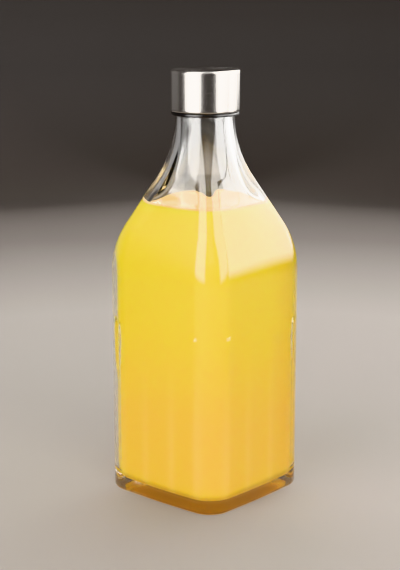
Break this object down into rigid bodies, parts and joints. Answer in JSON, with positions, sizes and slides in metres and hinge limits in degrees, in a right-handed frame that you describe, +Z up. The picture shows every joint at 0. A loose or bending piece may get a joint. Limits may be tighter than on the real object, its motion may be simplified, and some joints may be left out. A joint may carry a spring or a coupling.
{
  "type": "square glass bottle filled with juice",
  "caption": "Square clear glass bottle with round corners and a sloping shoulder, filled with yellow fruit juice and closed by a brushed steel screw cap.",
  "frame": {"origin": "middle of the base, on the surface that the bottle stands on", "axes": "+Z up along the bottle's axis; the four faces look along X and Y"},
  "size_m": [0.088, 0.088, 0.2513],
  "materials": {
    "clear_glass": "gloss",
    "juice": "opaque liquid",
    "brushed_steel": "brushed round the cap",
    "black_plastic": "satin"
  },
  "bodies": {
    "root": {"bottle": "clear_glass", "juice": "juice", "cap": "brushed_steel", "cap_liner": "black_plastic"}
  },
  "joints": []
}
